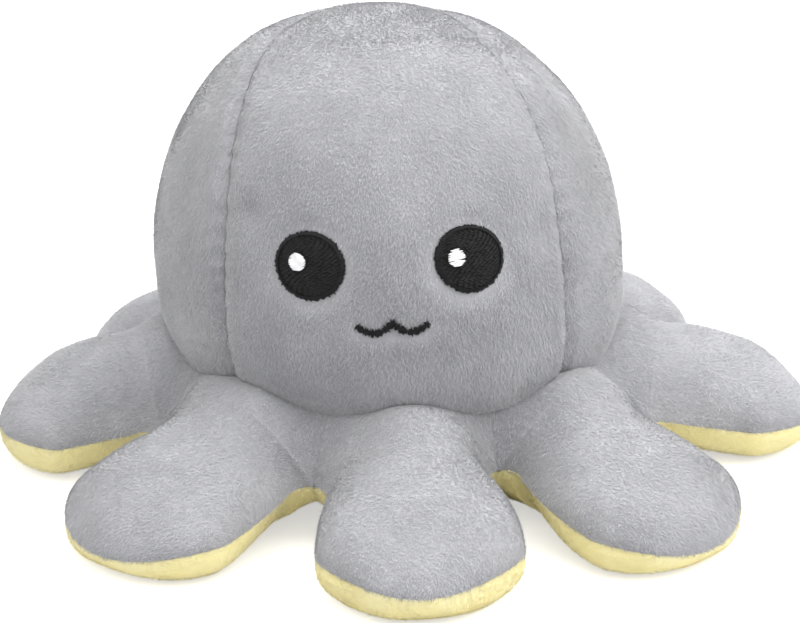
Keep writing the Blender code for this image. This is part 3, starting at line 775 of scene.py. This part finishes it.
def neck_place(across, along):
    azimuth = -2 * math.pi * across
    out, height = on_profile(NECK_PROFILE, along)
    reach = neck_reach(azimuth, NECK_HEIGHT) + out
    reach += NECK_GATHER_DEPTH * math.sin(NECK_GATHERS * azimuth)
    point = Vector((reach * math.cos(azimuth), reach * math.sin(azimuth), height))
    return point, (0.5 * azimuth, 10 * height)


def close_round(piece):
    """Joins the two ends of a sheet that runs once round."""
    bm = bmesh.new()
    bm.from_mesh(piece.data)
    bmesh.ops.remove_doubles(bm, verts=bm.verts, dist=1e-6)
    bm.to_mesh(piece.data)
    bm.free()


neck = sewn_sheet("neck_seam", (240, 8), neck_place, grey_plush)
close_round(neck)
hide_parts("skirt_top")
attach(neck, "head")


# Pocket
# The other octopus's head, turned inwards: four yellow gores that line a pocket open at the bottom, with
# a rolled and gathered rim. The toy rests on the rim and is turned inside out through it.
POCKET_RADIUS = 0.024
POCKET_DEPTH = 0.070
POCKET_POWER = 2.6
RIM_GATHERS = 26
RIM_GATHER_DEPTH = 0.0004
RIM_PROFILE = (  # how far from the middle, and how high
    (0.0348, 0.0024),
    (0.0341, 0.0007),
    (0.0325, 0.0001),
    (0.0290, 0.0),
    (0.0262, 0.0004),
    (0.0247, 0.0016),
    (0.0241, 0.0034),
    (0.0242, 0.0052),
)


def in_pocket(direction, inset):
    middle = Vector((0.0, 0.0, 0.0))
    return on_oval(direction, middle, POCKET_RADIUS, POCKET_DEPTH, POCKET_DEPTH, POCKET_POWER, inset)


def pocket_skin(direction, inset):
    """The lining's pile side, with the stuffing behind it pressing it in a little unevenly."""
    return in_pocket(direction, inset + 0.0004 * lump(direction, 0.5, 8.0))


def rim_place(across, along):
    azimuth = -2 * math.pi * across
    reach, height = on_profile(RIM_PROFILE, along)
    gather = RIM_GATHER_DEPTH * (0.5 + 0.5 * math.sin(RIM_GATHERS * azimuth + 2 * math.sin(3 * azimuth)))
    height += gather * bell(reach - 0.026, 0.004)
    point = Vector((reach * math.cos(azimuth), reach * math.sin(azimuth), height))
    return point, (0.28 * azimuth, 10 * reach)


rim = sewn_sheet("pocket_rim", (240, 36), rim_place, yellow_plush)
close_round(rim)
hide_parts("underside_ring")
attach(rim, "head")

lining_stitches = []
for sign in (-1, 1):
    eye_direction = heading(0.8 * sign, 0.0) * POCKET_RADIUS + Vector((0.0, 0.0, 0.0348))
    lining_stitches.append((in_pocket(eye_direction.normalized(), 0.0), 0.0, EYE_RADIUS))
for number, side in enumerate(("front", "right", "back", "left")):
    gore_middle = FACE_TURN + number * math.pi / 2

    def lining_place(across, along, gore_middle=gore_middle, number=number):
        rise = math.radians(11.5) + math.radians(89.4 - 11.5) * along
        spread = POCKET_RADIUS * math.cos(rise)
        half = math.pi / 4 - min(math.pi / 4, SEAM_GAP / 2 / spread)
        share = 1 - 2 * across
        distance = spread * half * (1 - abs(share))
        seam = number + (0.5 if share > 0 else -0.5)
        valley = 0.8 * seam_valley(distance, rise * POCKET_DEPTH, 31.0 + 5.0 * (seam % 4))
        point = pocket_skin(heading(gore_middle + half * share, rise), -valley)
        return point, (10 * spread * half * share, 10 * rise * POCKET_DEPTH)

    name = "pocket_gore_" + side
    lining = sewn_sheet(name, (44, 84), lining_place, yellow_plush, 1, lining_stitches)
    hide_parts("lining_panel_" + side)
    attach(lining, "head")


# Stitched faces
# Each eye is filled with rows of black satin stitch, ringed with radial stitches that sink in the pile,
# and has a small white highlight. The mouth is one row of short stitches across two small bowls.
FACE_OFFSET = 0.0010
EYE_SPREAD = 0.0192
EYE_HEIGHT = 0.0233
EYE_SLOPE = 0.0008
HIGHLIGHT_RADIUS = 0.0022
HIGHLIGHT_OUT = 0.0031
HIGHLIGHT_UP = 0.0005
MOUTH_HALF_WIDTH = 0.0081
MOUTH_HEIGHT = 0.0073
MOUTH_END_RISE = 0.0018
MOUTH_PEAK_RISE = 0.0027
MOUTH_OFFSET = 0.0001
MOUTH_STEPS = 400  # from the middle to either end
MOUTH_STITCHES = 92
EYE_RIM_STITCHES = 150
EYE_PITCH = 0.00032
HIGHLIGHT_PITCH = 0.00030
HIGHLIGHT_STRAND = 0.0100


def face_lay(surface, middle, turn, sign):
    """A function that lays face coordinates and a height over the cloth on a surface."""
    arc = math.hypot(*(surface(heading(turn, 0.0), 0.0) - middle).xy)

    def lay(x, y, lift):
        direction = heading(turn + x / arc, 0.0) * arc + Vector((0.0, 0.0, y))
        return surface(direction.normalized(), sign * lift)

    return lay


def thread_look(name, colour, roughness, specular, spread):
    """Twisted embroidery thread: smooth, a little glossy, with the twist as fine slanting ridges."""
    look = bpy.data.materials.new(name)
    look.use_nodes = True
    tree = look.node_tree
    shader = tree.nodes["Principled BSDF"]
    shader.inputs["Roughness"].default_value = roughness
    shader.inputs["Specular IOR Level"].default_value = specular
    place = add_node(tree, "TexCoord")
    twist = add_node(tree, "TexNoise", {"Scale": 2600.0, "Detail": 2.0})
    rows = add_node(tree, "TexNoise", {"Scale": 500.0, "Detail": 2.0})
    ramp = add_node(tree, "MapRange", {1: 0.35, 2: 0.70, 3: 1 - spread, 4: 1 + spread})
    tone = add_node(tree, "VectorMath", {0: colour}, operation="SCALE")
    relief = add_node(tree, "Bump", {"Strength": 0.8, "Distance": 0.00012})
    tree.links.new(place.outputs["Object"], twist.inputs["Vector"])
    tree.links.new(place.outputs["Object"], rows.inputs["Vector"])
    tree.links.new(rows.outputs[0], ramp.inputs[0])
    tree.links.new(ramp.outputs[0], tone.inputs["Scale"])
    tree.links.new(tone.outputs[0], shader.inputs["Base Color"])
    tree.links.new(twist.outputs[0], relief.inputs["Height"])
    tree.links.new(relief.outputs[0], shader.inputs["Normal"])
    return look


black_thread = thread_look("black_thread", (0.005, 0.005, 0.0055), 0.42, 0.20, 0.6)
white_thread = thread_look("white_thread", (0.86, 0.86, 0.87), 0.5, 0.3, 0.12)


round_strand = bmesh.new()
bmesh.ops.create_uvsphere(round_strand, u_segments=8, v_segments=6, radius=1.0)
bmesh.ops.rotate(round_strand, verts=round_strand.verts, matrix=Matrix.Rotation(math.pi / 2, 3, "Y"))
strand = bpy.data.meshes.new("strand")
round_strand.to_mesh(strand)
round_strand.free()
strand_points = [0.0] * 3 * len(strand.vertices)
strand.vertices.foreach_get("co", strand_points)


def add_stitch(bm, start, end, out, width, height):
    """One satin stitch: a plump strand from start to end, lying on the cloth."""
    along = end - start
    side = out.cross(along).normalized()
    up = along.cross(side).normalized()
    shape = Matrix((along / 2, side * (width / 2), up * (height / 2))).transposed().to_4x4()
    shape.translation = (start + end) / 2
    strand.vertices.foreach_set("co", strand_points)
    strand.transform(shape)
    bm.from_mesh(strand)


def finish_stitches(name, bm, look, node):
    for face in bm.faces:
        face.smooth = True
    mesh = bpy.data.meshes.new(name)
    bm.to_mesh(mesh)
    bm.free()
    mesh.materials.append(look)
    piece = bpy.data.objects.new(name, mesh)
    bpy.context.scene.collection.objects.link(piece)
    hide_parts(node)
    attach(piece, "head")
    return piece


def stitched_disc(bm, lay, centre, radius, pitch, low, high, seed, length=0.0013):
    """Rows of stitches across a round patch, each row a few strands long, on a shallow dome."""
    rows = int(2 * radius / pitch)
    for row in range(rows + 1):
        y = -radius + pitch * row
        half = math.sqrt(max(0.0, radius * radius - y * y))
        shift = 0.37 * (row % 3)
        count = max(1, round(2 * half / length))
        cuts = [-half] + [half * (2 * (i + shift) / count - 1) for i in range(1, count)] + [half]
        for left, right in zip(cuts, cuts[1:]):
            if right - left < 0.0002 or right > half + 1e-9:
                continue
            ends = []
            slant = 1.6 * pitch * noise.noise(Vector((row * 3.1, left * 2700, seed)))
            rise = 1 + 0.35 * noise.noise(Vector((row * 5.3, left * 3100, seed)))
            for x, way in ((left, -slant), (right, slant)):
                dome = 1 - 0.5 * ((x * x + y * y) / radius**2) ** 2
                ends.append(lay(centre[0] + x, centre[1] + y + way, low + (high - low) * dome * rise))
            middle = lay(centre[0], centre[1], 0.0)
            out = lay(centre[0], centre[1], 0.001) - middle
            jitter = 1 + 0.25 * noise.noise(Vector((row * 0.7, left * 900, seed)))
            add_stitch(bm, ends[0], ends[1], out, pitch * 1.5 * jitter, pitch * 1.1)


def stitched_eye(name, lay, centre, radius, node, seed, scale):
    """A filled round of black stitches with a rim of radial ones."""
    bm = bmesh.new()
    bmesh.ops.create_grid(bm, x_segments=28, y_segments=28, size=1.0)
    for vert in bm.verts:
        u, v = vert.co.x, vert.co.y
        x, y = u * math.sqrt(1 - v * v / 2), v * math.sqrt(1 - u * u / 2)
        dome = 1 - 0.6 * (x * x + y * y) ** 2
        vert.co = lay(centre[0] + 0.93 * radius * x, centre[1] + 0.93 * radius * y, 0.0002 + 0.0007 * dome)
    stitched_disc(bm, lay, centre, radius * 0.93, EYE_PITCH * scale, 0.0002, 0.0010, seed)
    count = int(EYE_RIM_STITCHES * scale)
    for index in range(count):
        turn = 2 * math.pi * index / count
        ragged = noise.noise(Vector((index * 7.31, seed, 0.0)))
        inner = radius * 0.86
        outer = radius * (1.0 + 0.085 * ragged)
        ends = [
            lay(centre[0] + reach * math.cos(turn), centre[1] + reach * math.sin(turn), lift)
            for reach, lift in ((inner, 0.0011), (outer, 0.0002))
        ]
        middle = lay(centre[0], centre[1], 0.0)
        out = lay(centre[0], centre[1], 0.001) - middle
        add_stitch(bm, ends[0], ends[1], out, 0.00044, 0.00044)
    return finish_stitches(name, bm, black_thread, node)


def mouth_spot(share):
    """The mouth's line: two bowls with a peak between them, from -1 at its left end to 1 at its right."""
    rise = MOUTH_PEAK_RISE if abs(share) < 0.5 else MOUTH_END_RISE
    drop = abs(math.sin(math.pi * share)) ** 0.8
    x = MOUTH_HALF_WIDTH * share
    return Vector((x, rise * (1 - drop) + EYE_SLOPE / EYE_SPREAD * x))


def stitched_mouth(name, lay, centre, node, seed):
    bm = bmesh.new()
    last = 2 * MOUTH_STEPS
    spots = [mouth_spot(step / MOUTH_STEPS - 1) for step in range(last + 1)]
    path = [0.0]
    for first, second in zip(spots, spots[1:]):
        path.append(path[-1] + (second - first).length)
    step = 0
    for index in range(MOUTH_STITCHES + 1):
        wanted = path[-1] * index / MOUTH_STITCHES
        while step < last - 1 and path[step + 1] < wanted:
            step += 1
        spot = spots[step]
        before, after = spots[max(0, step - 14)], spots[min(last, step + 14)]
        across = Vector((-(after - before).y, (after - before).x)).normalized()
        ragged = 0.00070 * noise.noise(Vector((index * 7.31, seed, 0.5)))
        half = 0.00064 + 0.00022 * abs(math.sin(math.pi * (step / MOUTH_STEPS - 1))) + ragged
        ends = []
        for way in (-1, 1):
            x = centre[0] + spot.x + across.x * half * way
            ends.append(lay(x, centre[1] + spot.y + across.y * half * way, 0.0005))
        out = lay(centre[0], centre[1], 0.001) - lay(centre[0], centre[1], 0.0)
        add_stitch(bm, ends[0], ends[1], out, 0.00036, 0.0009)
    return finish_stitches(name, bm, black_thread, node)


def stitched_face(prefix, lay, base, scale):
    for side, sign in (("left", -1), ("right", 1)):
        centre = (sign * EYE_SPREAD, base + EYE_HEIGHT + sign * EYE_SLOPE)
        node = prefix + "eye_" + side
        stitched_eye("stitched_" + node, lay, centre, EYE_RADIUS, node, 3.0 + sign, scale)
        spot = (centre[0] - HIGHLIGHT_OUT - 0.0005 * sign, centre[1] + HIGHLIGHT_UP)
        bm = bmesh.new()
        stitched_disc(
            bm, lay, spot, HIGHLIGHT_RADIUS, HIGHLIGHT_PITCH, 0.0015, 0.0019, 5.0 + sign, HIGHLIGHT_STRAND
        )
        node += "_highlight"
        finish_stitches("stitched_" + node, bm, white_thread, node)
    mouth_centre = (MOUTH_OFFSET, base + MOUTH_HEIGHT)
    stitched_mouth("stitched_" + prefix + "mouth", lay, mouth_centre, prefix + "mouth", 2.0)


head_lay = face_lay(head_skin, HEAD_MIDDLE, math.asin(FACE_OFFSET / HEAD_RADIUS), -1)
stitched_face("", head_lay, 0.0, 1.0)
pocket_lay = face_lay(pocket_skin, Vector((0.0, 0.0, 0.0)), 0.0, 1)
stitched_face("lining_", pocket_lay, 0.0115, 0.6)

bpy.data.meshes.remove(strand)
